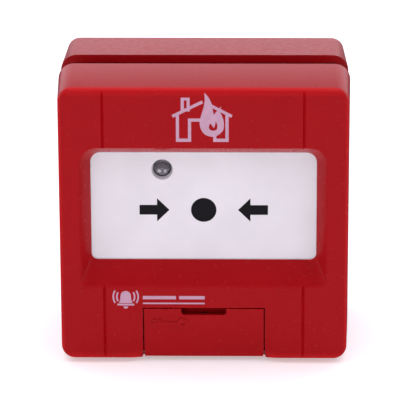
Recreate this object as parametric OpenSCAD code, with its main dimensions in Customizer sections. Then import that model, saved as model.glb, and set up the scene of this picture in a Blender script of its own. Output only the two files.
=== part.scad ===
// Manual call point for a fire alarm: a surface box, a wiring chassis, a resettable trip
// mechanism and a front cover with a pressed-in operating plate and a key flap.
// X runs to the right and Z up. The wall is the plane y = 0 and the front faces -Y.
// The origin is the middle of the wall face, midway between the two wall fixing slots.

/* [Front cover] */
// Width of the front face
face_w = 88.5; // [88:0.1:89.5]
// Height of the front face
face_h = 88.6; // [88.4:0.1:89.5]
// Depth of the cover from its rear edge to the front face
cover_depth = 22.6; // [22.4:0.1:24]
// Amount by which each side grows from the front face to the rear edge
cover_draft = 0.75; // [0.3:0.05:1.2]
// Radius of the cover's corners at the front face
cover_corner_r = 4.2; // [3.4:0.1:4.4]
// Rounding of the edge around the front face
front_fillet = 1.9; // [1.2:0.1:2.1]
// Thickness of the cover's walls
cover_wall = 2.2; // [2:0.1:2.3]
// Distance of the vertical front grooves from the middle
groove_x = 30.65; // [30:0.05:31]
// Depth of the vertical front grooves
groove_depth = 0.55; // [0.3:0.05:0.7]

/* [Window] */
// Width of the operating plate that shows
window_w = 69.3; // [68:0.1:70]
// Height of the operating plate that shows
window_h = 35; // [34:0.1:35.5]
// Height of the window's middle above the middle of the cover
window_z = 4.7; // [4.5:0.1:5]
// Depth of the window's bevels, from the front face to the rear lip
window_depth = 5.2; // [5:0.1:5.4]
// Width of the bevels at the sides and the top
window_bevel = 3.1; // [2.6:0.1:3.3]
// Height of the slope below the window
window_slope = 7.2; // [6.6:0.1:7.4]

/* [Key flap] */
// Width of the key flap
flap_w = 37; // [35:0.5:38]
// Height of the flap's top edge, measured down from the middle of the cover
flap_top_drop = 27.3; // [27:0.1:28]
// Gap around the flap
flap_gap = 0.4; // [0.3:0.05:0.45]
// Set-back of the scoop at the bottom edge of the cover
scoop_depth = 2.5; // [2:0.1:2.6]
// Thickness of the flap
flap_wall = 1.8; // [1.6:0.1:1.9]

/* [Back box] */
// Width of the back box at its front rim
box_w = 89.2; // [88.8:0.1:90]
// Height of the back box at its front rim
box_h = 91.2; // [90:0.1:92]
// Depth of the back box from the wall to its front rim
box_depth = 21.5; // [20:0.5:22]
// Amount by which each side shrinks from the rim to the wall
box_draft = 1.1; // [0.5:0.1:1.2]
// Distance between the two wall fixing slots
wall_pitch = 60; // [60:0.1:60.3]
// Width of the open groove between the box and the cover
neck_gap = 7; // [6.5:0.1:8]

/* [Mechanism] */
// Angle through which the operating plate tips when it is pressed
press_angle = 7; // [6.8:0.1:7.2]
// Height that the alarm flag rises when the plate trips
flag_travel = 10; // [9.6:0.1:10]
// Angle through which the reset barrel turns
barrel_angle = 88; // [87:0.5:89]

/* [Hidden] */
$fn = 64;
hull_fn = 32;
eps = 0.02;

red = [0.62, 0.07, 0.09];
white = [0.93, 0.92, 0.94];
yellow = [0.96, 0.78, 0.08];
black = [0.10, 0.10, 0.11];
steel = [0.75, 0.76, 0.78];
board = [0.07, 0.33, 0.17];

// Planes along Y, from the wall forwards.
rim_y = -box_depth;
cover_rear_y = rim_y - neck_gap;
front_y = cover_rear_y - cover_depth;
lip_y = front_y + window_depth;

// Window outline on the front face and at the rear lip.
window_top = window_z + window_h / 2;
window_bottom = window_z - window_h / 2;
recess_top = window_top + window_bevel;
recess_bottom = window_bottom - window_slope;
lip_r_top = 3.2;
lip_r_bottom = 2;
recess_r_top = 5;
recess_r_bottom = 2.6;
// Rounded mouth of the window: how far each step lies behind the face, and how far it spreads.
mouth_steps = [[0, 0.5], [0.12, 0.2], [0.4, 0.04], [window_depth, 0]];

// Chassis: a tray whose walls form the neck between the box and the cover.
neck_w = 81.4;
neck_h = 82;
neck_r = 2.6;
tray_wall = 2;
tray_rear_y = rim_y + 3;
tray_floor_y = tray_rear_y - 2.4;
tray_front_y = cover_rear_y - 5;
chassis_screw_x = 34.5;
chassis_screw_z = 35;
screw_hole_r = 1.9;
pilot_r = 1.35;

// Circuit board and what stands on it.
pcb_w = 58;
pcb_h = 52;
pcb_z = 6;
pcb_t = 1.6;
pcb_rear_y = tray_floor_y - 5.1;
pcb_front_y = pcb_rear_y - pcb_t;
pcb_hole_x = 25.5;
pcb_hole_z = 22.5;
pcb_post_r = 2.5;

// Mechanism frame and its legs.
frame_t = 2;
frame_rear_y = tray_front_y - 1;
frame_front_y = frame_rear_y - frame_t;
leg_x = 33;
leg_top_z = 28;
leg_bottom_z = -26;
leg_r = 3;

// Operating plate and its hinge.
plate_overlap = 1.35;
plate_clearance = 0.3;
plate_t = 2;
plate_w = window_w + 2 * plate_overlap;
plate_top = window_top + 1.2;
plate_bottom = window_bottom - plate_overlap;
plate_front_y = lip_y + plate_clearance;
plate_rear_y = plate_front_y + plate_t;
hinge_y = plate_rear_y + 0.9;
hinge_z = window_top;
pin_r = 0.75;
pin_bore_r = 0.8;
knuckle_r = 1.7;
ear_x = plate_w / 2 + 0.4;
ear_t = 1.8;

// Indicator lamp.
led_x = -12.7;
led_z = 16.5;
led_r = 2.5;
led_flange_r = 2.9;
led_hole_r = 2.8;
led_ring_r = 3.3;
led_lead_x = 1.27;
led_tip_y = plate_front_y - 0.1;
led_base_y = led_tip_y + 5;

// Alarm switch behind the plate.
switch_x = 8;
switch_z = 12;
switch_w = 12.8;
switch_h = 5.8;
switch_top_y = pcb_front_y - 9.5;
plunger_r = 0.9;
plunger_tip_y = switch_top_y - 1.6;

// Alarm flag: a slider just behind the lip of the window.
flag_t = 1;
flag_front_y = lip_y + 0.4;
flag_rear_y = flag_front_y + flag_t;
flag_half_w = 28;
flag_top = plate_bottom - 4.2;
blade_h = 7.3;
spring_lug_t = 1;
leg_half_w = 10.3;
shaft_slot_half_w = 2.8;

// Reset barrel: a crank turned by the key, whose pin runs in the flag's slot.
barrel_z = -34;
barrel_head_r = 3.9;
shaft_r = 2.5;
shaft_bore_r = 2.55;
crank_r = flag_travel / 2 / sin(barrel_angle / 2);
crank_pin_r = 1;
crank_slot_gap = 0.35;
crank_y = flag_rear_y + 0.6;
crank_t = 1.2;
slot_z = barrel_z - flag_travel / 2;
flag_leg_bottom = slot_z - crank_pin_r - crank_slot_gap - 0.95;
bearing_front_y = crank_y + crank_t + 0.3;

// Springs.
flag_spring_x = 22;
flag_spring_y = flag_rear_y + 2.4;
flag_spring_r = 1.7;
spring_floor_z = -40;
spring_wire_r = 0.28;
plate_spring_x = 26;
plate_spring_z = 0;
plate_spring_r = 2.2;
spring_seat_depth = 1.2;

// Flap pocket, flap hinge and the screws in the pocket.
flap_top = -flap_top_drop;
flap_bottom = -face_h / 2 + 0.2;
pocket_half_w = flap_w / 2 + flap_gap;
pocket_floor_y = lip_y - 1.1;
pocket_floor_t = 1.2;
pocket_back_y = pocket_floor_y + pocket_floor_t;
flap_hinge_y = pocket_floor_y - 1.1;
flap_hinge_z = -face_h / 2 + 1.4;
flap_knuckle_r = 1.15;
notch_half_w = 7;
notch_h = 2.1;
crease_z = flap_top - 8.1;
scoop_fan = 6.9;
nick_half_w = 0.8;
nick_h = 1.5;
cover_screw_x = 14.2;
cover_screw_z = -35;
cover_boss_r = 3;

// ---- Shared shapes --------------------------------------------------------------------

// Block between two opposite corners.
module block(from, to) {
    translate(from) cube(to - from);
}

// Rectangle with round corners, exact because it is squares and circles.
module rounded(w, h, r) {
    square([w - 2 * r, h], center = true);
    square([w, h - 2 * r], center = true);
    for (x = [-1, 1], y = [-1, 1])
        translate([x * (w / 2 - r), y * (h / 2 - r)]) circle(r);
}

// Extrudes an outline drawn as seen from the front, from y0 back to y1.
module along_y(y0, y1) {
    translate([0, y1, 0]) rotate([90, 0, 0]) linear_extrude(y1 - y0) children();
}

// Extrudes a side profile drawn in (y, z), symmetrically about the middle plane.
module across_x(w) {
    translate([-w / 2, 0, 0]) rotate([90, 0, 90]) linear_extrude(w) children();
}

module rod_y(x, z, r, y0, y1) {
    translate([x, y1, z]) rotate([90, 0, 0]) cylinder(h = y1 - y0, r = r);
}

module rod_x(y, z, r, half_w) {
    translate([-half_w, y, z]) rotate([0, 90, 0]) cylinder(h = 2 * half_w, r = r);
}

// Places its children at (x, z) and mirrors them into the other three quadrants.
module four(x, z) {
    for (sx = [-1, 1], sz = [-1, 1]) scale([sx, 1, sz]) translate([x, 0, z]) children();
}

// Places its children at x and mirrors them to the other side.
module pair(x) {
    for (side = [-1, 1]) scale([side, 1, 1]) translate([x, 0, 0]) children();
}

// Slot with round ends, along X.
module slot(length, r) {
    square([length - 2 * r, 2 * r], center = true);
    for (x = [-1, 1]) translate([x * (length / 2 - r), 0]) circle(r);
}

// Tapering block with round corners. Its back is at y = 0, and its front, which has a
// rounded edge, is at y = -depth. The back is larger than the front by grow on every side.
module tapered_block(w, h, r, grow, depth, soft) {
    hull() {
        along_y(-eps, 0) rounded(w + 2 * grow, h + 2 * grow, r + grow, $fn = hull_fn);
        for (turn = [0:22.5:90]) {
            inset = soft * (1 - cos(turn));
            y = soft * (1 - sin(turn)) - depth;
            along_y(y, y + eps) rounded(w - 2 * inset, h - 2 * inset, r - inset, $fn = hull_fn);
        }
    }
}

// Pan-head screw with a cross recess; the head sits in front of the plane y = seat_y.
module screw(seat_y, length, shank_r, head_r, head_h) {
    difference() {
        union() {
            rod_y(0, 0, shank_r, seat_y - eps, seat_y + length);
            rod_y(0, 0, head_r, seat_y - head_h, seat_y);
        }
        for (turn = [0, 90])
            rotate([0, turn, 0])
                block([-head_r * 0.6, seat_y - head_h - eps, -head_r * 0.13],
                      [head_r * 0.6, seat_y - head_h * 0.4, head_r * 0.13]);
    }
}

// Section of a helical wire cut across the coil's axis.
function wire_section(coil_r, wire_r, pitch) = let (spread = 360 * wire_r / pitch) concat(
    [for (a = [-1:0.5:1]) (coil_r + wire_r * sqrt(1 - a * a)) * [cos(a * spread), sin(a * spread)]],
    [for (a = [0.5:-0.5:-0.5])
        (coil_r - wire_r * sqrt(1 - a * a)) * [cos(a * spread), sin(a * spread)]]);

// Coil spring along +Z from z = 0.
module coil_spring(coil_r, wire_r, length, turns) {
    pitch = (length - 2 * wire_r) / turns;
    translate([0, 0, wire_r])
        linear_extrude(length - 2 * wire_r, twist = -360 * turns, slices = 14 * turns, $fn = 8)
            polygon(wire_section(coil_r, wire_r, pitch));
}

// ---- Back box -------------------------------------------------------------------------

cavity_w = box_w - 2 * box_draft - 3;
cavity_h = box_h - 2 * box_draft - 3;
box_floor = 2.2;
box_corner_r = 3.9;
box_soft = 0.6;
box_boss_r = 3.6;
entry_r = 11;
entry_recess_r = 12.6;
cable_hole_r = 3.5;
slot_r = 2.2;
slot_len = 8;

module wall_slots() {
    pair(wall_pitch / 2) {
        along_y(-box_floor - 1, 1) slot(slot_len, slot_r);
        along_y(-box_floor - 1, -box_floor + 0.8) slot(slot_len + 4, slot_r + 2);
    }
}

// Scored discs for a conduit, one in the bottom wall and two in the rear wall.
module knockouts() {
    translate([0, -box_depth / 2, -box_h / 2]) difference() {
        cylinder(h = 1.6, r = 8.2);
        translate([0, 0, -eps]) cylinder(h = 1.7, r = 7.6);
    }
    for (z = [-27, 27]) difference() {
        rod_y(0, z, 8.2, -0.9, 1);
        rod_y(0, z, 7.6, -1, 1.1);
    }
}

module back_box() {
    color(red) difference() {
        union() {
            difference() {
                translate([0, rim_y, 0]) rotate([0, 0, 180])
                    tapered_block(box_w - 2 * box_draft, box_h - 2 * box_draft, box_corner_r,
                                  box_draft, box_depth, box_soft);
                along_y(rim_y - 1, -box_floor) rounded(cavity_w, cavity_h, 2);
            }
            four(chassis_screw_x, chassis_screw_z)
                rod_y(0, 0, box_boss_r, tray_rear_y + 0.1, -box_floor + eps);
            four(chassis_screw_x, chassis_screw_z)
                block([0, -12, -0.8], [cavity_w / 2 - chassis_screw_x + 0.5, -box_floor + eps, 0.8]);
        }
        four(chassis_screw_x, chassis_screw_z) rod_y(0, 0, pilot_r, rim_y, -box_floor - 1.5);
        wall_slots();
        rod_y(0, 0, entry_r, -box_floor - 1, 1);
        rod_y(0, 0, entry_recess_r, -0.8, 1);
        knockouts();
    }
}

module cable_grommet() {
    color(black) difference() {
        union() {
            rod_y(0, 0, entry_recess_r - 0.2, -0.75, -0.1);
            rod_y(0, 0, entry_r - 0.1, -box_floor - 0.15, -0.6);
            rod_y(0, 0, entry_recess_r, -box_floor - 1.3, -box_floor - 0.1);
        }
        rod_y(0, 0, entry_r - 2.5, -box_floor - 2, -1.6);
        rod_y(0, 0, entry_r - 4, -0.9, 1);
        rod_y(0, 0, cable_hole_r, -3, 1);
    }
}

// ---- Chassis and its fasteners --------------------------------------------------------

hook_x = 22;
hook_w = 8;

module chassis() {
    color(red) difference() {
        union() {
            difference() {
                along_y(tray_front_y, tray_rear_y) rounded(neck_w, neck_h, neck_r);
                along_y(tray_front_y - 1, tray_floor_y)
                    rounded(neck_w - 2 * tray_wall, neck_h - 2 * tray_wall, neck_r - 1);
            }
            pair(leg_x) for (z = [leg_bottom_z, leg_top_z])
                rod_y(0, z, leg_r, frame_rear_y, tray_floor_y + eps);
            translate([0, 0, pcb_z]) four(pcb_hole_x, pcb_hole_z)
                rod_y(0, 0, pcb_post_r, pcb_rear_y, tray_floor_y + eps);
        }
        four(chassis_screw_x, chassis_screw_z) rod_y(0, 0, screw_hole_r, tray_floor_y - 1, tray_rear_y + 1);
        pair(leg_x) for (z = [leg_bottom_z, leg_top_z])
            rod_y(0, z, pilot_r, frame_rear_y - 1, tray_floor_y - 0.5);
        translate([0, 0, pcb_z]) four(pcb_hole_x, pcb_hole_z)
            rod_y(0, 0, 1, pcb_rear_y - 1, tray_floor_y - 0.3);
        block([-17.5, tray_floor_y - 1, -18], [17.5, tray_rear_y + 1, -2]);
        pair(hook_x)
            block([-hook_w / 2 - 0.4, tray_front_y + 1.4, neck_h / 2 - tray_wall - 1],
                  [hook_w / 2 + 0.4, tray_front_y + 3.8, neck_h / 2 + 1]);
    }
}

module chassis_screws() {
    color(steel) four(chassis_screw_x, chassis_screw_z) screw(tray_floor_y, 12, 1.3, 3, 2);
}

// ---- Circuit board --------------------------------------------------------------------

module pcb() {
    color(board) translate([0, 0, pcb_z]) difference() {
        along_y(pcb_front_y, pcb_rear_y) rounded(pcb_w, pcb_h, 1.5);
        four(pcb_hole_x, pcb_hole_z) rod_y(0, 0, 1.5, pcb_front_y - 1, pcb_rear_y + 1);
    }
}

module pcb_screws() {
    color(steel) translate([0, 0, pcb_z]) four(pcb_hole_x, pcb_hole_z) screw(pcb_front_y, 6, 0.95, 2.3, 1.5);
}

ways = 6;
way_pitch = 5;
terminal_z = -10;
terminal_rear_y = pcb_rear_y + 11;

module terminal_block() {
    color([0.13, 0.42, 0.25]) difference() {
        block([-ways * way_pitch / 2, pcb_rear_y, terminal_z - 5],
              [ways * way_pitch / 2, terminal_rear_y, terminal_z + 5]);
        for (i = [0:ways - 1]) translate([(i - (ways - 1) / 2) * way_pitch, 0, terminal_z]) {
            rod_y(0, 1, 1.9, terminal_rear_y - 3, terminal_rear_y + 1);
            block([-1.7, terminal_rear_y - 8, -5.1], [1.7, terminal_rear_y - 4, 0]);
        }
    }
}

module terminal_screws() {
    color(steel) for (i = [0:ways - 1])
        translate([(i - (ways - 1) / 2) * way_pitch, 0, terminal_z + 1]) difference() {
            rod_y(0, 0, 1.8, terminal_rear_y - 2.9, terminal_rear_y - 0.9);
            block([-2, terminal_rear_y - 1.6, -0.3], [2, terminal_rear_y, 0.3]);
        }
}

chip_size = 9;

module controller_chip() {
    color(black) translate([6, 0, -3]) {
        block([-chip_size / 2, pcb_front_y - 1.6, -chip_size / 2],
              [chip_size / 2, pcb_front_y - 0.1, chip_size / 2]);
        for (turn = [0:90:270], i = [-3:3]) rotate([0, turn, 0])
            block([i * 1.1 - 0.2, pcb_front_y - 0.6, chip_size / 2 - eps],
                  [i * 1.1 + 0.2, pcb_front_y, chip_size / 2 + 1.2]);
    }
}

module capacitor() {
    color([0.16, 0.17, 0.3]) {
        rod_y(20, -8, 3.15, pcb_front_y - 6.2, pcb_front_y - 0.5);
        block([16.7, pcb_front_y - 1, -11.3], [23.3, pcb_front_y, -4.7]);
    }
}

module chip_resistors() {
    color([0.2, 0.2, 0.22]) for (row = [0:2], i = [0:3])
        translate([-22 + i * 4, 0, -14 + row * 5])
            block([-1, pcb_front_y - 0.6, -0.6], [1, pcb_front_y, 0.6]);
}

module led_spacer() {
    color(black) difference() {
        rod_y(led_x, led_z, led_flange_r, led_base_y + 0.05, pcb_front_y);
        translate([led_x, 0, led_z]) pair(led_lead_x) rod_y(0, 0, 0.5, led_base_y - 1, pcb_front_y + 1);
    }
}

module led() {
    color([0.85, 0.87, 0.88]) {
        rod_y(led_x, led_z, led_flange_r, led_base_y - 1, led_base_y);
        rod_y(led_x, led_z, led_r, led_tip_y + led_r, led_base_y);
        intersection() {
            translate([led_x, led_tip_y + led_r, led_z]) sphere(led_r);
            rod_y(led_x, led_z, led_r, led_tip_y - 1, led_tip_y + led_r + eps);
        }
    }
    color(steel) translate([led_x, 0, led_z])
        pair(led_lead_x) rod_y(0, 0, 0.25, led_base_y - eps, pcb_front_y);
}

module switch_body() {
    color(black) translate([switch_x, 0, switch_z]) difference() {
        block([-switch_w / 2, switch_top_y, -switch_h / 2], [switch_w / 2, pcb_front_y, switch_h / 2]);
        rod_y(0, 0, plunger_r + 0.1, switch_top_y - 1, switch_top_y + 4);
    }
}

module switch_plunger() {
    color([0.75, 0.2, 0.15]) rod_y(switch_x, switch_z, plunger_r, plunger_tip_y, switch_top_y + 2);
}

// ---- Trip mechanism -------------------------------------------------------------------

module frame_plate() {
    along_y(frame_front_y, frame_rear_y) difference() {
        union() {
            translate([0, -1]) rounded(73, 65, 3);
            translate([0, -34]) square([50, 15], center = true);
        }
        translate([0, 7]) rounded(42, 30, 2);
        pair(leg_x) for (z = [leg_bottom_z, leg_top_z]) translate([0, z]) circle(1.7);
        pair(12) translate([0, -20]) rounded(12, 10, 2);
    }
}

// Ears that carry the operating plate's hinge pin.
module hinge_ears() {
    pair(0) difference() {
        block([ear_x, hinge_y - knuckle_r, hinge_z - 2.2], [ear_x + ear_t, frame_rear_y, hinge_z + 2.2]);
        rod_x(hinge_y, hinge_z, pin_bore_r, ear_x + ear_t + 1);
    }
}

// Rails that keep the flag upright, and the ledges under its springs.
module flag_rails() {
    rail_bottom = flag_top - 8.5;
    rail_top = plate_bottom - 0.8;
    pair(0) {
        block([flag_half_w + 0.3, flag_front_y, rail_bottom], [flag_half_w + 1.9, frame_rear_y, rail_top]);
        block([flag_half_w - 2.4, flag_rear_y + 0.3, rail_bottom], [flag_half_w + 1, frame_rear_y, rail_top]);
        block([flag_spring_x - 2.7, flag_front_y + 0.6, spring_floor_z - 1.5],
              [flag_spring_x + 2.7, frame_rear_y, spring_floor_z]);
    }
}

module mechanism_frame() {
    color([0.82, 0.82, 0.84]) difference() {
        union() {
            frame_plate();
            hinge_ears();
            flag_rails();
            rod_y(0, barrel_z, 5, bearing_front_y, frame_rear_y);
            pair(cover_screw_x)
                rod_y(0, cover_screw_z, cover_boss_r, pocket_back_y + 0.1, frame_rear_y);
            pair(plate_spring_x) rod_y(0, plate_spring_z, 4, frame_front_y - 0.8, frame_rear_y);
        }
        rod_y(0, barrel_z, shaft_bore_r, bearing_front_y - 1, frame_rear_y + 1);
        pair(cover_screw_x) rod_y(0, cover_screw_z, pilot_r, lip_y - 1, frame_rear_y + 1);
        pair(plate_spring_x)
            rod_y(0, plate_spring_z, 3.1, frame_front_y - 2, frame_front_y - 0.8 + spring_seat_depth);
    }
}

module frame_screws() {
    color(steel) pair(leg_x) for (z = [leg_bottom_z, leg_top_z])
        translate([0, 0, z]) screw(frame_front_y, 9, 1.3, 2.8, 1.8);
}

module operating_plate() {
    color(white) difference() {
        union() {
            translate([0, 0, (plate_top + plate_bottom) / 2])
                along_y(plate_front_y, plate_rear_y) rounded(plate_w, plate_top - plate_bottom, 2);
            for (x = [-24, 24]) translate([x, 0, 0]) {
                rod_x(hinge_y, hinge_z, knuckle_r, 6);
                block([-6, plate_rear_y - eps, hinge_z - knuckle_r], [6, hinge_y, hinge_z + 1.1]);
            }
            for (x = [-16, 0, 16])
                block([x - 0.6, plate_rear_y - eps, plate_bottom + 2], [x + 0.6, plate_rear_y + 1.2, 12]);
            rod_y(switch_x, switch_z, 1.5, plate_rear_y - eps, plunger_tip_y - 0.3);
        }
        for (x = [-24, 24]) translate([x, 0, 0]) rod_x(hinge_y, hinge_z, pin_bore_r, 7);
        rod_y(led_x, led_z, led_hole_r, plate_front_y - 1, plate_rear_y + 1);
        translate([led_x, plate_front_y - eps, led_z]) rotate([-90, 0, 0])
            cylinder(h = plate_t - 0.3, r1 = led_ring_r, r2 = led_hole_r);
    }
}

module plate_pin() {
    color(steel) rod_x(hinge_y, hinge_z, pin_r, ear_x + ear_t - 0.2);
}

plate_spring_rear_y = frame_front_y - 0.8 + spring_seat_depth;

module plate_springs() {
    color(steel) pair(plate_spring_x)
        translate([0, plate_spring_rear_y, plate_spring_z]) rotate([90, 0, 0])
            coil_spring(plate_spring_r, spring_wire_r, plate_spring_rear_y - plate_rear_y - 0.05, 4);
}

module crank_slot() {
    far_x = crank_r + crank_pin_r + crank_slot_gap;
    near_x = crank_r * cos(barrel_angle / 2) - crank_pin_r - crank_slot_gap;
    half_h = crank_pin_r + crank_slot_gap;
    translate([(near_x + far_x) / 2, slot_z]) square([far_x - near_x, 2 * half_h], center = true);
}

module alarm_flag() {
    color(yellow) {
        along_y(flag_front_y, flag_rear_y) difference() {
            union() {
                translate([0, flag_top - blade_h / 2]) rounded(2 * flag_half_w, blade_h, 0.8);
                translate([-leg_half_w, flag_leg_bottom])
                    square([2 * leg_half_w, flag_top - blade_h / 2 - flag_leg_bottom]);
            }
            translate([-shaft_slot_half_w, flag_leg_bottom - 1])
                square([2 * shaft_slot_half_w, barrel_z + shaft_slot_half_w - flag_leg_bottom + 1]);
            crank_slot();
        }
        pair(flag_spring_x)
            block([-2.6, flag_rear_y - eps, flag_top - blade_h],
                  [2.6, flag_spring_y + 2.1, flag_top - blade_h + spring_lug_t]);
    }
}

module flag_springs() {
    color(steel) pair(flag_spring_x)
        translate([0, flag_spring_y, spring_floor_z + 0.05])
            coil_spring(flag_spring_r, spring_wire_r, flag_top - blade_h - spring_floor_z - 0.1, 7);
}

module reset_barrel() {
    start = -barrel_angle / 2;
    color(black) translate([0, 0, barrel_z]) difference() {
        union() {
            rod_y(0, 0, barrel_head_r, pocket_floor_y - 0.4, pocket_back_y);
            rod_y(0, 0, shaft_r, pocket_floor_y, frame_front_y - 1);
            rotate([0, -start, 0]) {
                block([0, crank_y, -2.2], [crank_r, crank_y + crank_t, 2.2]);
                rod_y(crank_r, 0, 2.2, crank_y, crank_y + crank_t);
                rod_y(crank_r, 0, crank_pin_r, flag_front_y + 0.1, crank_y + eps);
            }
        }
        block([-2.6, pocket_floor_y - 1, -0.7], [2.6, pocket_floor_y + 2.2, 0.7]);
        rod_y(0, 0, 1.4, pocket_floor_y - 1, pocket_floor_y + 3);
    }
}

// ---- Front cover ----------------------------------------------------------------------

function between(from, to, share) = from + (to - from) * share;

// Thin slice of the window opening at some depth behind the face, grown all round by spread.
module window_slice(depth, spread) {
    share = depth / window_depth;
    half_w = window_w / 2 + between(window_bevel, 0, share) + spread;
    top = between(recess_top, window_top, share) + spread;
    bottom = between(recess_bottom, window_bottom, share) - spread;
    r_top = between(recess_r_top, lip_r_top, share) + spread;
    r_bottom = between(recess_r_bottom, lip_r_bottom, share) + spread;
    y = front_y + depth - eps;
    for (side = [-1, 1]) {
        rod_y(side * (half_w - r_top), top - r_top, r_top, y, y + 2 * eps, $fn = hull_fn);
        rod_y(side * (half_w - r_bottom), bottom + r_bottom, r_bottom, y, y + 2 * eps, $fn = hull_fn);
    }
}

module window_cut() {
    for (i = [0:len(mouth_steps) - 2]) hull() {
        window_slice(mouth_steps[i][0], mouth_steps[i][1]);
        window_slice(mouth_steps[i + 1][0], mouth_steps[i + 1][1]);
    }
}

// Wedge that sets the bottom of the front back towards the wall and fans out at both sides.
module scoop_cut() {
    reach = face_h / 2 + 2 + crease_z;
    full = face_h / 2 + crease_z;
    bottom = crease_z - reach;
    half = flap_w / 2;
    fan = half + scoop_fan * reach / full;
    back = front_y + scoop_depth * reach / full;
    polyhedron(
        points = [[-half, front_y, crease_z], [half, front_y, crease_z],
                  [-fan, front_y, bottom], [fan, front_y, bottom],
                  [-half, back, bottom], [half, back, bottom]],
        faces = [[0, 1, 3, 2], [0, 4, 5, 1], [1, 5, 3], [0, 2, 4], [2, 3, 5, 4]]);
}

module grooves() {
    pair(groove_x) {
        translate([0, front_y, recess_top - 0.5])
            cylinder(h = face_h / 2 - recess_top + 2, r = groove_depth, $fn = 4);
        translate([0, front_y, -face_h / 2 - 1])
            cylinder(h = face_h / 2 + recess_bottom + 1.5, r = groove_depth, $fn = 4);
    }
}

// Tabs inside the top wall that hook into the chassis.
module hooks() {
    inner_top = face_h / 2 - cover_wall;
    pair(hook_x) {
        block([-hook_w / 2, tray_front_y - 4, inner_top - 0.8],
              [hook_w / 2, tray_front_y + 3.4, inner_top + 0.5]);
        block([-hook_w / 2, tray_front_y + 1.8, neck_h / 2 - 1.4],
              [hook_w / 2, tray_front_y + 3.4, inner_top]);
    }
}

// Solid stock behind the window bevels, the scoop and the flap, before they are cut.
module cover_stock() {
    wall_inner = front_y + cover_wall - eps;
    translate([0, 0, (recess_top + recess_bottom) / 2]) along_y(wall_inner, lip_y)
        rounded(window_w + 2 * window_bevel + 1, recess_top - recess_bottom + 1.4, 3);
    block([-36, wall_inner, -face_h / 2 + cover_wall - 0.5], [36, pocket_floor_y + 0.3, -34]);
    block([-pocket_half_w - 2, wall_inner, -face_h / 2 + cover_wall - 0.5],
          [pocket_half_w + 2, pocket_back_y, flap_top + 2]);
}

// Softened bottom corners on both sides of the flap's gaps.
module corner_nicks() {
    pair((flap_w + flap_gap) / 2) along_y(front_y - 1, pocket_floor_y - 0.1)
        polygon([[-nick_half_w, -face_h / 2 - 1], [0, -face_h / 2 + nick_h], [nick_half_w, -face_h / 2 - 1]]);
}

module flap_pocket() {
    block([-pocket_half_w, front_y - 1, -face_h / 2 - 1],
          [pocket_half_w, pocket_floor_y, flap_top + flap_gap]);
    block([-pocket_half_w, pocket_floor_y - 1, -face_h / 2 - 1],
          [pocket_half_w, pocket_floor_y + 0.5, flap_hinge_z + 1.7]);
}

module front_cover() {
    color(red) difference() {
        union() {
            difference() {
                translate([0, cover_rear_y, 0])
                    tapered_block(face_w, face_h, cover_corner_r, cover_draft, cover_depth, front_fillet);
                along_y(front_y + cover_wall, cover_rear_y + 1)
                    rounded(face_w - 2 * cover_wall, face_h - 2 * cover_wall, 1.5);
            }
            cover_stock();
            hooks();
        }
        window_cut();
        grooves();
        scoop_cut();
        corner_nicks();
        flap_pocket();
        rod_y(0, barrel_z, barrel_head_r + 0.15, pocket_floor_y - 1, pocket_back_y + 1);
        pair(cover_screw_x) rod_y(0, cover_screw_z, 1.6, pocket_floor_y - 1, pocket_back_y + 1);
        rod_x(flap_hinge_y, flap_hinge_z, pin_bore_r, flap_w / 2 + 2.2);
    }
}

module cover_screws() {
    color(steel) pair(cover_screw_x)
        translate([0, 0, cover_screw_z]) screw(pocket_floor_y, 9, 1.3, 2.5, 1);
}

// ---- Key flap -------------------------------------------------------------------------

key_bow_x = -6.5;
key_z = flap_top - 4.8;
key_relief = 0.3;

module key_symbol() {
    translate([key_bow_x, key_z]) {
        difference() {
            circle(1.7);
            circle(0.6);
        }
        translate([-9.7, -0.38]) square([8.3, 0.76]);
        for (x = [-9.2, -7.6]) translate([x, 0]) square([0.9, 1.3]);
    }
}

module flap_profile() {
    lower_back = front_y + scoop_depth + 0.9;
    polygon([[front_y, flap_top], [front_y + flap_wall, flap_top], [front_y + flap_wall, crease_z],
             [lower_back, flap_hinge_z], [lower_back, flap_bottom], [front_y, flap_bottom]]);
    translate([flap_hinge_y, flap_hinge_z]) circle(flap_knuckle_r);
}

module key_flap() {
    color(red) {
        difference() {
            across_x(flap_w) flap_profile();
            scoop_cut();
            corner_nicks();
            rod_x(flap_hinge_y, flap_hinge_z, pin_bore_r, flap_w);
            along_y(front_y - 1, front_y + flap_wall + 1) {
                translate([-notch_half_w, flap_top - notch_h + 1]) square([2 * notch_half_w, notch_h]);
                translate([-notch_half_w + 1, flap_top - notch_h]) square([2 * notch_half_w - 2, notch_h]);
                pair(notch_half_w - 1) translate([0, flap_top - notch_h + 1]) circle(1);
            }
        }
        along_y(front_y - key_relief, front_y + eps) key_symbol();
    }
}

module flap_pin() {
    color(steel) rod_x(flap_hinge_y, flap_hinge_z, pin_r, flap_w / 2 + 2);
}

back_box();
cable_grommet();
chassis();
chassis_screws();
pcb();
pcb_screws();
terminal_block();
terminal_screws();
controller_chip();
capacitor();
chip_resistors();
led_spacer();
led();
switch_body();
switch_plunger();
mechanism_frame();
frame_screws();
operating_plate();
plate_pin();
plate_springs();
alarm_flag();
flag_springs();
reset_barrel();
front_cover();
cover_screws();
key_flap();
flap_pin();
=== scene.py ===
"""Looks of the manual call point: materials, printed marks, springs, lamp, light and camera.

X runs to the right, Z up and the front faces -Y, in metres. MM turns millimetres into metres.
"""
import math

import bmesh
import bpy
from mathutils import Matrix, Vector


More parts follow.
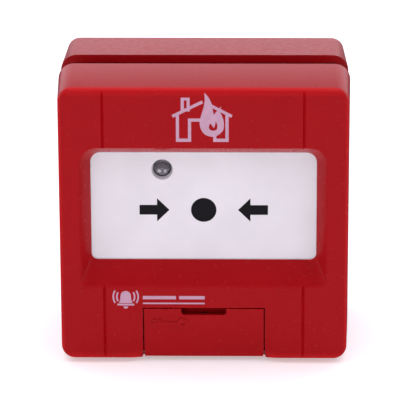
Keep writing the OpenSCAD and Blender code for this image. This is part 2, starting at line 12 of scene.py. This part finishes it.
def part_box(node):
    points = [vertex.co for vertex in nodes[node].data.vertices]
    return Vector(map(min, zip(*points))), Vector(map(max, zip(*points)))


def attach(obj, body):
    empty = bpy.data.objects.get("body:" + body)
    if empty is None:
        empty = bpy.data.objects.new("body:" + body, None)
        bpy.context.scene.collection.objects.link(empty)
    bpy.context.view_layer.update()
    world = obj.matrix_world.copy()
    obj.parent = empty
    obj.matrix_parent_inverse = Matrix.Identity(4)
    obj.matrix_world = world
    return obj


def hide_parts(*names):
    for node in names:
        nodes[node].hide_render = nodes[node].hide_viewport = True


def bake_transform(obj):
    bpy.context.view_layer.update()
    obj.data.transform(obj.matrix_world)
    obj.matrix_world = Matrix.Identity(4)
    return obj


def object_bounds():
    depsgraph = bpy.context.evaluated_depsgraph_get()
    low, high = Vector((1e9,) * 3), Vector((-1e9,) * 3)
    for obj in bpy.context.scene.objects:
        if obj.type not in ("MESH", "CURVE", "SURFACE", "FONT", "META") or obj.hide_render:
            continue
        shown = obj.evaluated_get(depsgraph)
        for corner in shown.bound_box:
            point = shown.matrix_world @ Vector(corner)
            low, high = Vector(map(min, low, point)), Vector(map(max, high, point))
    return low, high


MM = 0.001
FLOOR_DROP = 0.02 * MM
COVER_DRAFT = 0.75 * MM
GLOW_WIDTH = 2.6 * MM

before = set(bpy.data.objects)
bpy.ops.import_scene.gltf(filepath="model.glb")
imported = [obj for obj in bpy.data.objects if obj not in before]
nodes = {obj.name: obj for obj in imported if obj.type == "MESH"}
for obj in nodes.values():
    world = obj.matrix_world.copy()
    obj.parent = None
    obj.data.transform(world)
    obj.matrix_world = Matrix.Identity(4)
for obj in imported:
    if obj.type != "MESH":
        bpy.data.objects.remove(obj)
cad_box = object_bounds()
FRONT_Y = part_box("front_cover")[0].y


# ---- Node trees -------------------------------------------------------------------------

class Tree:
    """A material with a Principled shader, and short calls that add and link its nodes."""

    def __init__(self, name, **shader_values):
        self.material = bpy.data.materials.new(name)
        self.material.use_nodes = True
        self.tree = self.material.node_tree
        self.shader = self.tree.nodes["Principled BSDF"]
        self.place = self.add("TexCoord").outputs["Object"]
        for socket, value in shader_values.items():
            self.shader.inputs[socket.replace("_", " ")].default_value = value

    def add(self, kind, options=None, **sockets):
        """Adds a node, sets its options, and sets or links its sockets by name."""
        node = self.tree.nodes.new("ShaderNode" + kind)
        for option, value in (options or {}).items():
            setattr(node, option, value)
        for socket, value in sockets.items():
            self.join(value, node.inputs[socket.replace("_", " ")])
        return node

    def join(self, value, socket):
        if isinstance(value, bpy.types.NodeSocket):
            self.tree.links.new(value, socket)
        else:
            socket.default_value = value

    def stretched(self, scale):
        return self.add("Mapping", Vector=self.place, Scale=scale).outputs[0]

    def noise(self, size, detail=3.0, place=None):
        """Noise from 0 to 1 whose lumps are about size across."""
        vector = place or self.place
        node = self.add("TexNoise", Vector=vector, Scale=1 / size, Detail=detail)
        return node.outputs["Fac"]

    def ramp(self, factor, *stops):
        """Colours or greys between stops, given as (position, value) pairs."""
        node = self.add("ValToRGB", Fac=factor)
        elements = node.color_ramp.elements
        while len(elements) < len(stops):
            elements.new(0.5)
        for element, (position, value) in zip(elements, stops):
            element.position = position
            element.color = value if len(value) == 4 else (*value, 1)
        return node.outputs[0]

    def grey(self, factor, *stops):
        return self.ramp(factor, *((position, (v, v, v)) for position, v in stops))

    def mix(self, factor, a, b):
        node = self.add("MixRGB", Fac=factor, Color1=a, Color2=b)
        return node.outputs[0]

    def edges(self, radius, low=0.02, high=0.25):
        """1 on edges, where wear and a painted highlight go, and 0 on flat faces."""
        soft = self.add("Bevel", {"samples": 4}, Radius=radius).outputs[0]
        hard = self.add("NewGeometry").outputs["Normal"]
        across = self.add("VectorMath", {"operation": "DOT_PRODUCT"})
        self.join(soft, across.inputs[0])
        self.join(hard, across.inputs[1])
        return self.grey(across.outputs["Value"], (1 - high, 1.0), (1 - low, 0.0))

    def bump(self, *layers):
        """Bump from (height, strength, distance) layers, the first one lowest."""
        normal = None
        for height, strength, distance in layers:
            node = self.add("Bump", Height=height, Strength=strength, Distance=distance)
            if normal:
                self.join(normal, node.inputs["Normal"])
            normal = node.outputs[0]
        self.join(normal, self.shader.inputs["Normal"])

    def set(self, **sockets):
        for socket, value in sockets.items():
            self.join(value, self.shader.inputs[socket.replace("_", " ")])

    def flat_place(self):
        """Place with Z moved into Y, for patterns that lie on an upright board."""
        parts = self.add("SeparateXYZ", Vector=self.place)
        return self.add("CombineXYZ", X=parts.outputs["X"], Y=parts.outputs["Z"]).outputs[0]

    def calc(self, operation, first, second=0.0):
        node = self.add("Math", {"operation": operation})
        self.join(first, node.inputs[0])
        self.join(second, node.inputs[1])
        return node.outputs[0]

    def painted_edge_glow(self, width):
        """1 at the edge of the cover's front, fading to 0: a painted glow that stands in for light
        coming through the plastic.
        """
        low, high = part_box("front_cover")
        parts = self.add("SeparateXYZ", Vector=self.place).outputs
        inset_x = self.calc("SUBTRACT", high.x - COVER_DRAFT, self.calc("ABSOLUTE", parts["X"]))
        inset_z = self.calc("SUBTRACT", high.z - COVER_DRAFT, self.calc("ABSOLUTE", parts["Z"]))
        inset = self.calc("MINIMUM", self.calc("MULTIPLY", inset_x, 2.2), inset_z)
        near = self.grey(self.calc("DIVIDE", inset, width), (0.0, 1.0), (0.35, 0.45), (1.0, 0.0))
        depth = self.calc("DIVIDE", self.calc("SUBTRACT", parts["Y"], low.y), 2 * MM)
        return self.calc("MULTIPLY", near, self.grey(depth, (0.8, 1.0), (1.0, 0.0)))


def shade(colour, factor):
    return tuple(channel * factor for channel in colour)


# ---- Materials --------------------------------------------------------------------------

def moulded(name, colour, grain=0.25 * MM, rough=(0.22, 0.28), relief=0.003, wear_and_highlight=None,
            specular=0.22, rim=None):
    """Moulded plastic: faint flow clouds, a fine eroded grain, edges painted a brighter red in patches
    (partly wear, partly a painted highlight), and a painted glow along the front's edge.
    """
    tree = Tree(name, Specular_IOR_Level=specular)
    clouds = tree.noise(14 * MM, 4)
    grains = tree.noise(grain, 2)
    fine = tree.noise(1.6 * MM, 3)
    base = tree.ramp(clouds, (0.3, shade(colour, 0.96)), (0.7, shade(colour, 1.04)))
    base = tree.mix(0.1, base, tree.ramp(grains, (0.3, shade(colour, 0.93)), (0.7, shade(colour, 1.07))))
    roughness = tree.grey(fine, (0.3, rough[0]), (0.7, rough[1]))
    # Painted glow: a brighter red band along the edge of the cover's front.
    if rim:
        base = tree.mix(tree.painted_edge_glow(GLOW_WIDTH), base, (*rim, 1))
    # Edges painted a brighter red in patches: partly wear, partly a painted highlight.
    if wear_and_highlight:
        wear_and_highlight_edges = tree.edges(0.35 * MM)
        patches = tree.grey(tree.noise(5 * MM, 3), (0.42, 0.0), (0.62, 1.0))
        base = tree.mix(tree.calc("MULTIPLY", wear_and_highlight_edges, patches), base, (*wear_and_highlight, 1))
    tree.set(Base_Color=base, Roughness=roughness)
    tree.bump((clouds, 0.05, 0.1 * MM), (grains, 1.0, relief * MM))
    return tree.material


def steel(name, colour=(0.62, 0.63, 0.65), drawn=(1, 1, 1)):
    """Zinc-plated or drawn steel with fine streaks along the way it was worked."""
    tree = Tree(name, Metallic=1.0)
    streaks = tree.noise(0.35 * MM, 4, tree.stretched(drawn))
    blotches = tree.noise(2.5 * MM, 3)
    base = tree.ramp(blotches, (0.3, shade(colour, 0.85)), (0.7, shade(colour, 1.08)))
    tree.set(Base_Color=base, Roughness=tree.grey(streaks, (0.3, 0.22), (0.75, 0.42)))
    tree.bump((streaks, 0.4, 0.02 * MM))
    return tree.material


def rubber():
    tree = Tree("soft_rubber", Specular_IOR_Level=0.35)
    dust = tree.noise(3 * MM, 5)
    pores = tree.noise(0.3 * MM, 3)
    tree.set(Base_Color=tree.ramp(dust, (0.35, (0.018, 0.018, 0.02)), (0.8, (0.05, 0.048, 0.046))),
             Roughness=tree.grey(dust, (0.3, 0.6), (0.7, 0.8)))
    tree.bump((pores, 0.6, 0.03 * MM))
    return tree.material


def board():
    """Solder mask over copper tracks, which show as a slightly paler relief."""
    tree = Tree("solder_mask", Specular_IOR_Level=0.6, Coat_Weight=0.4, Coat_Roughness=0.15)
    tracks = tree.add("TexBrick", {"offset": 0.37, "squash": 1.6}, Vector=tree.flat_place(), Scale=260,
                      Mortar_Size=0.03, Color1=(0, 0, 0, 1), Color2=(0, 0, 0, 1), Mortar=(1, 1, 1, 1))
    copper = tree.grey(tracks.outputs["Color"], (0.3, 0.0), (0.6, 1.0))
    haze = tree.noise(6 * MM, 3)
    mask = tree.ramp(haze, (0.3, (0.008, 0.085, 0.03)), (0.7, (0.014, 0.12, 0.045)))
    tree.set(Base_Color=tree.mix(copper, mask, (0.035, 0.2, 0.075, 1)),
             Roughness=tree.grey(haze, (0.3, 0.28), (0.7, 0.38)))
    tree.bump((copper, 0.5, 0.03 * MM))
    return tree.material


def clear_epoxy():
    """Water-clear lamp body with a few faint flow lines."""
    tree = Tree("clear_epoxy", Transmission_Weight=0.9, IOR=1.3, Roughness=0.04)
    flow = tree.noise(1.2 * MM, 3)
    tree.set(Base_Color=tree.ramp(flow, (0.3, (0.84, 0.81, 0.88)), (0.7, (0.93, 0.91, 0.95))))
    tree.bump((flow, 0.15, 0.02 * MM))
    return tree.material


def ink(name, colour):
    """Screen-printed ink: thin, slightly uneven, duller than the plastic under it."""
    tree = Tree(name, Specular_IOR_Level=0.3)
    mesh_marks = tree.noise(0.22 * MM, 2)
    cover = tree.noise(2.2 * MM, 3)
    base = tree.ramp(cover, (0.25, shade(colour, 0.92)), (0.7, shade(colour, 1.05)))
    tree.set(Base_Color=base, Roughness=tree.grey(mesh_marks, (0.3, 0.5), (0.7, 0.62)))
    tree.bump((mesh_marks, 0.35, 0.012 * MM))
    return tree.material


def floor_paper():
    tree = Tree("floor_paper", Specular_IOR_Level=0.1, Roughness=0.9, Emission_Color=(1, 1, 1, 1),
                Emission_Strength=0.38)
    fibres = tree.noise(2 * MM, 4)
    tree.set(Base_Color=tree.ramp(fibres, (0.3, (0.9, 0.9, 0.9)), (0.7, (0.93, 0.93, 0.93))))
    return tree.material


RED = (0.37, 0.003, 0.006)
WEAR_AND_GLOW_RED = (0.62, 0.012, 0.014)
# Cover and box edges are painted a brighter red, partly wear and partly a painted highlight; the cover
# also gets a painted glow at the front's edge.
red_cover = moulded("red_cover_plastic", RED, wear_and_highlight=WEAR_AND_GLOW_RED, rim=WEAR_AND_GLOW_RED)
red_box = moulded("red_box_plastic", shade(RED, 0.95), grain=0.4 * MM, rough=(0.34, 0.44), relief=0.02,
                  wear_and_highlight=WEAR_AND_GLOW_RED, specular=0.55)
red_inside = moulded("red_chassis_plastic", shade(RED, 0.85), grain=0.5 * MM, rough=(0.55, 0.68),
                     relief=0.02)
white_plate = moulded("white_plate_plastic", (0.80, 0.785, 0.81), rough=(0.3, 0.4), relief=0.008,
                      specular=0.4)
grey_frame = moulded("grey_frame_plastic", (0.5, 0.5, 0.52), grain=0.4 * MM, rough=(0.45, 0.6))
black_plastic = moulded("black_plastic", (0.022, 0.022, 0.025), rough=(0.4, 0.55), specular=0.5)
green_plastic = moulded("green_terminal_plastic", (0.02, 0.16, 0.06), rough=(0.4, 0.5), specular=0.45)
blue_sleeve = moulded("blue_sleeve_film", (0.02, 0.025, 0.1), rough=(0.2, 0.3), specular=0.5)
yellow_flag = moulded("yellow_flag_plastic", (0.85, 0.48, 0.02), rough=(0.4, 0.5))
plunger_red = moulded("plunger_red_plastic", (0.4, 0.03, 0.02), rough=(0.35, 0.45))
screw_steel = steel("zinc_plated_steel")
# Pale diffuse plastic rather than metal, so the lead tips show as painted glints in the lamp.
lead_frame_and_glint = moulded("silvered_lead_frame", (0.75, 0.72, 0.76), rough=(0.15, 0.3), specular=0.8)
pin_steel = steel("drawn_pin_steel", drawn=(0.1, 1, 1))
spring_steel = steel("spring_wire_steel", colour=(0.5, 0.5, 0.52))
black_ink = ink("black_print_ink", (0.012, 0.011, 0.014))
pale_ink = ink("pale_print_ink", (0.56, 0.33, 0.44))

FINISH = {
    "back_box": red_box, "cable_grommet": rubber(), "chassis": red_inside, "chassis_screws": screw_steel,
    "pcb": board(), "pcb_screws": screw_steel, "terminal_block": green_plastic,
    "terminal_screws": screw_steel, "controller_chip": black_plastic, "capacitor": blue_sleeve,
    "chip_resistors": black_plastic, "led_spacer": grey_frame, "led": clear_epoxy(),
    "switch_body": black_plastic, "switch_plunger": plunger_red, "mechanism_frame": grey_frame,
    "frame_screws": screw_steel, "operating_plate": white_plate, "plate_pin": pin_steel,
    "plate_springs": spring_steel, "alarm_flag": yellow_flag, "flag_springs": spring_steel,
    "reset_barrel": black_plastic, "front_cover": red_cover, "cover_screws": screw_steel,
    "key_flap": red_cover, "flap_pin": pin_steel,
}
ROUNDED_EDGES = {
    "key_flap": 0.15, "back_box": 0.3, "operating_plate": 0.2, "chassis": 0.3,
    "alarm_flag": 0.15, "mechanism_frame": 0.2, "terminal_block": 0.15, "switch_body": 0.2,
    "controller_chip": 0.08, "reset_barrel": 0.12,
}


def smoothing_group(angle):
    """Node group that joins the triangles of a CAD mesh and keeps only edges over angle sharp."""
    group = bpy.data.node_groups.new("smooth_by_angle", "GeometryNodeTree")
    group.interface.new_socket("Geometry", in_out="INPUT", socket_type="NodeSocketGeometry")
    group.interface.new_socket("Geometry", in_out="OUTPUT", socket_type="NodeSocketGeometry")
    geometry = group.nodes.new("NodeGroupInput").outputs[0]
    imported = group.nodes.new("GeometryNodeRemoveAttribute")
    imported.inputs["Name"].default_value = "custom_normal"
    merge = group.nodes.new("GeometryNodeMergeByDistance")
    merge.inputs["Distance"].default_value = 0.002 * MM
    edge_angle = group.nodes.new("GeometryNodeInputMeshEdgeAngle")
    is_sharp = group.nodes.new("FunctionNodeCompare")
    is_sharp.inputs["B"].default_value = angle
    group.links.new(edge_angle.outputs["Unsigned Angle"], is_sharp.inputs["A"])
    sharp = group.nodes.new("GeometryNodeStoreNamedAttribute")
    sharp.data_type = "BOOLEAN"
    sharp.domain = "EDGE"
    sharp.inputs["Name"].default_value = "sharp_edge"
    group.links.new(is_sharp.outputs["Result"], sharp.inputs["Value"])
    smooth = group.nodes.new("GeometryNodeSetShadeSmooth")
    for node in (imported, merge, sharp, smooth):
        group.links.new(geometry, node.inputs["Geometry"])
        geometry = node.outputs["Geometry"]
    group.links.new(geometry, group.nodes.new("NodeGroupOutput").inputs[0])
    return group


smooth_by_angle = smoothing_group(math.radians(24))


def finish_node(name, material):
    """Gives a CAD node its material, and softens its edges where it has a radius for that."""
    node = nodes[name]
    node.data.materials.clear()
    node.data.materials.append(material)
    node.modifiers.new("smooth", "NODES").node_group = smooth_by_angle
    if name not in ROUNDED_EDGES:
        return
    flat = node.modifiers.new("flat", "DECIMATE")
    flat.decimate_type = "DISSOLVE"
    flat.angle_limit = math.radians(0.5)
    rounding = node.modifiers.new("rounding", "BEVEL")
    rounding.width = ROUNDED_EDGES[name] * MM
    rounding.segments = 3
    rounding.angle_limit = math.radians(28)
    rounding.harden_normals = True


for name, material in FINISH.items():
    finish_node(name, material)


# ---- Printed marks ----------------------------------------------------------------------
# Outlines are closed loops of (x, z) in millimetres. A shape is an outer loop and its holes.

INK_THICKNESS = 0.03
INK_STEP = 0.002
STROKE = 0.95
PRINT_MIDDLE_Z = 3.35
DOT_RADIUS = 3.9
EMBLEM_PLACE = (-24.1, -23.9)


def bar(left, right, bottom, top):
    return [(left, bottom), (right, bottom), (right, top), (left, top)]


def stroke(start, end, width=STROKE):
    """Straight line of some width, with square ends."""
    along = (Vector(end) - Vector(start)).normalized() * width / 2
    side = Vector((-along.y, along.x))
    first, last = Vector(start) - along, Vector(end) + along
    return [tuple(p) for p in (first - side, last - side, last + side, first + side)]


def arc(centre, radius, start, end, steps=24):
    """Points on a circle between two angles in degrees."""
    angles = [math.radians(start + (end - start) * i / steps) for i in range(steps + 1)]
    return [(centre[0] + radius * math.cos(a), centre[1] + radius * math.sin(a)) for a in angles]


def flowing(points, steps=6):
    """Smooth open curve through points."""
    ends = [points[0], *points, points[-1]]
    line = []
    for before, start, end, after in zip(ends, ends[1:], ends[2:], ends[3:]):
        for i in range(steps):
            t = i / steps
            line.append(tuple(
                0.5 * (2 * b + (c - a) * t + (2 * a - 5 * b + 4 * c - d) * t ** 2
                       + (3 * b - a - 3 * c + d) * t ** 3)
                for a, b, c, d in zip(before, start, end, after)))
    return line + [points[-1]]


def mirrored(loop):
    return [(-x, z) for x, z in reversed(loop)]


def moved(loop, x, z):
    return [(px + x, pz + z) for px, pz in loop]


def print_mark(name, shapes, surface_y, body, material):
    """Lays a thin print on a front surface and lets it ride on a body."""
    upright = Matrix.Rotation(math.radians(90), 4, "X")
    form = bmesh.new()
    for layer, shape in enumerate(shapes):
        curve = bpy.data.curves.new(name, "CURVE")
        curve.dimensions = "2D"
        curve.fill_mode = "BOTH"
        curve.extrude = INK_THICKNESS / 2 * MM
        for loop in shape:
            spline = curve.splines.new("POLY")
            spline.points.add(len(loop) - 1)
            for point, (x, z) in zip(spline.points, loop):
                point.co = (x * MM, z * MM, 0, 1)
            spline.use_cyclic_u = True
        holder = bpy.data.objects.new(name, curve)
        mesh = bpy.data.meshes.new_from_object(holder)
        mesh.transform(Matrix.Translation((0, -layer * INK_STEP * MM, 0)) @ upright)
        form.from_mesh(mesh)
        bpy.data.objects.remove(holder)
        bpy.data.meshes.remove(mesh)
    piece = add_piece(name, mesh_from(form, name), material, body)
    piece.location.y = surface_y - INK_THICKNESS / 2 * MM
    return piece


def mesh_from(form, name):
    """Turns an edited form into a mesh and frees the form."""
    mesh = bpy.data.meshes.new(name)
    form.to_mesh(mesh)
    form.free()
    return mesh


def add_piece(name, mesh, material, body):
    piece = bpy.data.objects.new(name, mesh)
    mesh.materials.append(material)
    bpy.context.scene.collection.objects.link(piece)
    if body:
        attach(piece, body)
    return piece


def flame():
    """Flame with two tongues and a small one cut out of its belly."""
    left = flowing([(0.4, 43.1), (0.5, 40.7), (0.1, 38.2), (-0.65, 35.7), (-1.05, 33.5), (-0.6, 31.4),
                    (0.7, 29.75), (3.0, 29.1), (4.9, 29.9), (6.15, 31.4), (6.3, 33.3), (6.05, 34.9),
                    (5.45, 36.4), (5.15, 37.5), (5.55, 38.85)])
    notch = flowing([(5.55, 38.85), (4.8, 38.05), (4.0, 37.1), (3.25, 36.1)])
    right = flowing([(3.25, 36.1), (3.0, 37.4), (2.7, 39.3), (1.95, 41.2), (1.15, 42.4)])
    belly = flowing([(2.1, 33.5), (1.75, 32.1), (2.2, 31.25), (3.25, 31.05), (4.15, 31.5),
                     (4.3, 32.8), (3.85, 34.1)])
    inner = flowing([(3.7, 33.1), (3.25, 32.0), (2.7, 32.75)])
    return [left + notch[1:] + right[1:], belly + inner]


def house():
    """Outline of a house with a chimney and an open front."""
    left_wall, base_top, base_bottom = -8.26, 28.5, 27.45
    return [
        [stroke((-8.9, 35.85), (-0.6, 40.05))], [stroke((2.9, 38.75), (8.3, 35.85))],
        [bar(-6.77, -4.05, 37.2, 41.6), bar(-5.8, -4.97, 37.9, 40.75)],
        [bar(left_wall, left_wall + STROKE, base_bottom, 36.4)], [bar(6.75, 7.75, base_bottom, 36.3)],
        [bar(left_wall, -3.63, base_bottom, base_top)], [bar(3.05, 7.75, base_bottom, base_top)],
        [bar(-4.6, -3.63, base_bottom, 34.95)], [bar(-4.6, -0.9, 33.95, 34.95)],
        [bar(3.05, 4.0, base_bottom, 29.6)],
    ]


def bell():
    """Plain alarm bell: a dome on a rim, with a clapper and a sound wave on each side."""
    side = flowing([(2.1, -1.5), (1.75, -0.4), (1.6, 0.9)])
    dome = side + arc((0, 0.9), 1.6, 0, 180)[1:-1] + mirrored(side)
    waves = [arc((0, 0.6), r, -32, 32) + arc((0, 0.6), r - 0.5, 32, -32) for r in (3.0, 4.1)]
    return [[dome], [bar(-2.6, 2.6, -2.3, -1.7)], [arc((0, -2.6), 0.75, 180, 360)],
            *[[wave] for wave in waves], *[[mirrored(wave)] for wave in waves]]


def arrow():
    """Arrow that points right at the dot."""
    tip, head, tail = -10.55, -14.35, -19.75
    middle, shaft_half, head_half = PRINT_MIDDLE_Z, 1.58, 3.8
    return [(tail, middle - shaft_half), (head, middle - shaft_half), (head, middle - head_half),
            (tip, middle), (head, middle + head_half), (head, middle + shaft_half),
            (tail, middle + shaft_half)]


def add_prints():
    plate_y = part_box("operating_plate")[0].y
    dot = arc((0, PRINT_MIDDLE_Z), DOT_RADIUS, 0, 360, 96)[:-1]
    print_mark("press_here_marks", [[dot], [arrow()], [mirrored(arrow())]], plate_y, "plate",
               black_ink)
    print_mark("house_and_flame", [*house(), flame()], FRONT_Y, "housing", pale_ink)
    emblem = [[moved(loop, *EMBLEM_PLACE) for loop in shape] for shape in bell()]
    lines = [[bar(-18.8, -8.6, -24.1, -23.0)], [bar(-7.6, 0.3, -24.1, -23.0)],
             [bar(-18.8, 0.3, -25.7, -25.2)]]
    print_mark("bell_and_lines", [*emblem, *lines], FRONT_Y, "housing", pale_ink)


# ---- Springs and lamp -------------------------------------------------------------------

def coil_mesh(name, centres, axis, length, coil_r, wire_r, turns, sides=10, steps=28):
    """Round-wire coils of equal size that start at each centre and run along an axis."""
    form = bmesh.new()
    across = Vector((1, 0, 0))
    up = axis.cross(across)
    rise = length - 2 * wire_r
    count = round(turns * steps)
    for centre in centres:
        rings = []
        for i in range(count + 1):
            turn = 2 * math.pi * turns * i / count
            outward = across * math.cos(turn) + up * math.sin(turn)
            middle = centre + outward * (coil_r - wire_r) + axis * (wire_r + rise * i / count)
            angles = [2 * math.pi * k / sides for k in range(sides)]
            rings.append([form.verts.new(middle + (outward * math.cos(a) + axis * math.sin(a)) * wire_r)
                          for a in angles])
        for first, second in zip(rings, rings[1:]):
            for k in range(sides):
                form.faces.new((first[k - 1], first[k], second[k], second[k - 1]))
        form.faces.new(rings[0])
        form.faces.new(reversed(rings[-1]))
    bmesh.ops.recalc_face_normals(form, faces=form.faces)
    for face in form.faces:
        face.smooth = True
    return mesh_from(form, name)


def add_springs():
    """Fine coils in place of the faceted ones, each running the length of the spring it replaces."""
    for node, body, axis, turns in (("plate_springs", "plate", Vector((0, -1, 0)), 4),
                                    ("flag_springs", "flag", Vector((0, 0, 1)), 7)):
        low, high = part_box(node)
        size = high - low
        along = 1 if axis.y else 2
        thick = size.z if axis.y else size.y
        start = high.y if axis.y else low.z
        centres = []
        for side in (-1, 1):
            centre = (low + high) / 2
            centre.x = side * (high.x - thick / 2)
            centre[along] = start
            centres.append(centre)
        wire_r = 0.28 * MM
        mesh = coil_mesh("fine_" + node, centres, axis, size[along], thick / 2, wire_r, turns)
        piece = add_piece("fine_" + node, mesh, spring_steel, None)
        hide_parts(node)
        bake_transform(piece)


def block_with_soft_edges(form, low, high, soft):
    made = bmesh.ops.create_cube(form, size=1)["verts"]
    for vertex in made:
        vertex.co = Vector((low[k] if vertex.co[k] < 0 else high[k] for k in range(3)))
    edges = list({edge for vertex in made for edge in vertex.link_edges})
    bmesh.ops.bevel(form, geom=edges, offset=soft, segments=2, affect="EDGES")


def add_lamp_inside():
    """Die cup and lead tips that show through the clear dome of the lamp: the cup's black half-disc sits
    just under the dome as a painted dark reflection, and the pale lead tips as painted glints.
    """
    low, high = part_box("led")
    middle = (low + high) / 2
    tip = Vector((middle.x, low.y, middle.z))
    # Black half-disc just under the dome: the die cup, and a painted dark reflection in the upper half
    # of the lamp.
    form = bmesh.new()
    outline = [form.verts.new((tip.x + x * MM, tip.y + 1.0 * MM, tip.z + z * MM))
               for x, z in arc((0, 0.1), 1.5, 0, 180, 20)]
    grown = bmesh.ops.extrude_face_region(form, geom=[form.faces.new(outline)])["geom"]
    rear = [item for item in grown if isinstance(item, bmesh.types.BMVert)]
    bmesh.ops.translate(form, verts=rear, vec=(0, 1.2 * MM, 0))
    bmesh.ops.recalc_face_normals(form, faces=form.faces)
    add_piece("lamp_die_cup_and_dark_reflection", mesh_from(form, "lamp_die_cup_and_dark_reflection"), black_plastic, "housing")
    # Two pale lead tips below the middle of the dome: painted glints.
    form = bmesh.new()
    for side, half in ((-1, 0.5), (1, 0.36)):
        x = tip.x + side * 0.8 * MM
        block_with_soft_edges(form, (x - half * MM, tip.y + 1.2 * MM, tip.z - 1.15 * MM),
                              (x + half * MM, tip.y + 4.4 * MM, tip.z - 0.35 * MM), 0.15 * MM)
    add_piece("lamp_lead_tips_and_glints", mesh_from(form, "lamp_lead_tips_and_glints"), lead_frame_and_glint, "housing")


add_prints()
add_springs()
add_lamp_inside()


# ---- Camera, light and floor ------------------------------------------------------------

LIGHT_TINT = (1.0, 0.95, 1.04)
SKY_LEVEL = 1.15
ZENITH_LEVEL = 0.35
FRONT_LEVEL = 0.15
FLOOR_LEVEL = 0.05
FRAME_SIDE = 400
FOCAL_PIXELS = 3397
SENSOR = 36
CAMERA_TARGET = (-1.03 * MM, FRONT_Y, 8.63 * MM)
CAMERA_DISTANCE = 1.0375
CAMERA_ELEVATION = math.radians(20.37)
CAMERA_AZIMUTH = math.radians(1.1)
CAMERA_ROLL = math.radians(-0.24)
LIGHT_TARGET = (0, -0.03, 0)
FLOOR_HALF_SIZE = 3
# How the sky's level changes with direction: axis, from, to, level before and level after.
SKY_STEPS = (("Y", -0.9, 0.5, FRONT_LEVEL, 1), ("Z", -0.25, 0.1, FLOOR_LEVEL, 1),
             ("Z", 0.4, 0.65, 1, ZENITH_LEVEL))


def make_camera():
    """Long lens, looking down on the front from a little to the right."""
    level = math.cos(CAMERA_ELEVATION)
    away = Vector((math.sin(CAMERA_AZIMUTH) * level, -math.cos(CAMERA_AZIMUTH) * level,
                   math.sin(CAMERA_ELEVATION)))
    data = bpy.data.cameras.new("camera")
    data.sensor_width = SENSOR
    data.lens = FOCAL_PIXELS / FRAME_SIDE * SENSOR
    data.clip_start = 0.01
    camera = bpy.data.objects.new("camera", data)
    bpy.context.scene.collection.objects.link(camera)
    turn = away.to_track_quat("Z", "Y").to_matrix().to_4x4()
    place = Matrix.Translation(Vector(CAMERA_TARGET) + away * CAMERA_DISTANCE)
    camera.matrix_world = place @ turn @ Matrix.Rotation(CAMERA_ROLL, 4, "Z")
    bpy.context.scene.camera = camera


def soft_light(name, place, size, power):
    """Area light aimed at the object. It lights surfaces but shows in no reflection."""
    data = bpy.data.lights.new(name, "AREA")
    data.shape = "RECTANGLE"
    data.size, data.size_y = size
    data.energy = power
    data.color = LIGHT_TINT
    lamp = bpy.data.objects.new(name, data)
    bpy.context.scene.collection.objects.link(lamp)
    lamp.location = place
    lamp.visible_glossy = False
    lamp.rotation_euler = (Vector(place) - Vector(LIGHT_TARGET)).to_track_quat("Z", "Y").to_euler()


def make_world():
    """White to the eye. It lights the object from above and behind, and stays dim in front."""
    world = bpy.data.worlds.new("studio")
    world.use_nodes = True
    tree = world.node_tree
    background = tree.nodes["Background"]
    background.inputs["Strength"].default_value = 1.0
    direction = tree.nodes.new("ShaderNodeSeparateXYZ")
    coords = tree.nodes.new("ShaderNodeTexCoord")
    tree.links.new(coords.outputs["Generated"], direction.inputs[0])
    levels = []
    for axis, low, high, before, after in SKY_STEPS:
        level = tree.nodes.new("ShaderNodeMapRange")
        level.interpolation_type = "SMOOTHSTEP"
        tree.links.new(direction.outputs[axis], level.inputs["Value"])
        level.inputs["From Min"].default_value = low
        level.inputs["From Max"].default_value = high
        level.inputs["To Min"].default_value = before
        level.inputs["To Max"].default_value = after
        levels.append(level.outputs[0])
    product = levels[0]
    for level in levels[1:]:
        times = tree.nodes.new("ShaderNodeMath")
        times.operation = "MULTIPLY"
        tree.links.new(product, times.inputs[0])
        tree.links.new(level, times.inputs[1])
        product = times.outputs[0]
    seen = tree.nodes.new("ShaderNodeLightPath")
    tinted = tree.nodes.new("ShaderNodeVectorMath")
    tinted.operation = "SCALE"
    tinted.inputs[0].default_value = [channel * SKY_LEVEL for channel in LIGHT_TINT]
    tree.links.new(product, tinted.inputs["Scale"])
    shown = tree.nodes.new("ShaderNodeMixRGB")
    shown.inputs["Color2"].default_value = (1, 1, 1, 1)
    tree.links.new(tinted.outputs[0], shown.inputs["Color1"])
    tree.links.new(seen.outputs["Is Camera Ray"], shown.inputs["Fac"])
    tree.links.new(shown.outputs[0], background.inputs["Color"])
    bpy.context.scene.world = world


def make_floor():
    form = bmesh.new()
    bmesh.ops.create_grid(form, x_segments=8, y_segments=8, size=FLOOR_HALF_SIZE)
    floor = bpy.data.objects.new("floor", mesh_from(form, "floor"))
    floor.location = (0, 0, cad_box[0][2] - FLOOR_DROP)
    floor.data.materials.append(floor_paper())
    bpy.context.scene.collection.objects.link(floor)
    floor.visible_glossy = False


make_camera()
make_world()
make_floor()
soft_light("overhead", (0, 0, 1.2), (2.4, 2.4), 22)
soft_light("front", (-0.2, -1.3, 0.35), (0.8, 0.6), 3.6)
bpy.context.scene.view_settings.view_transform = "Standard"
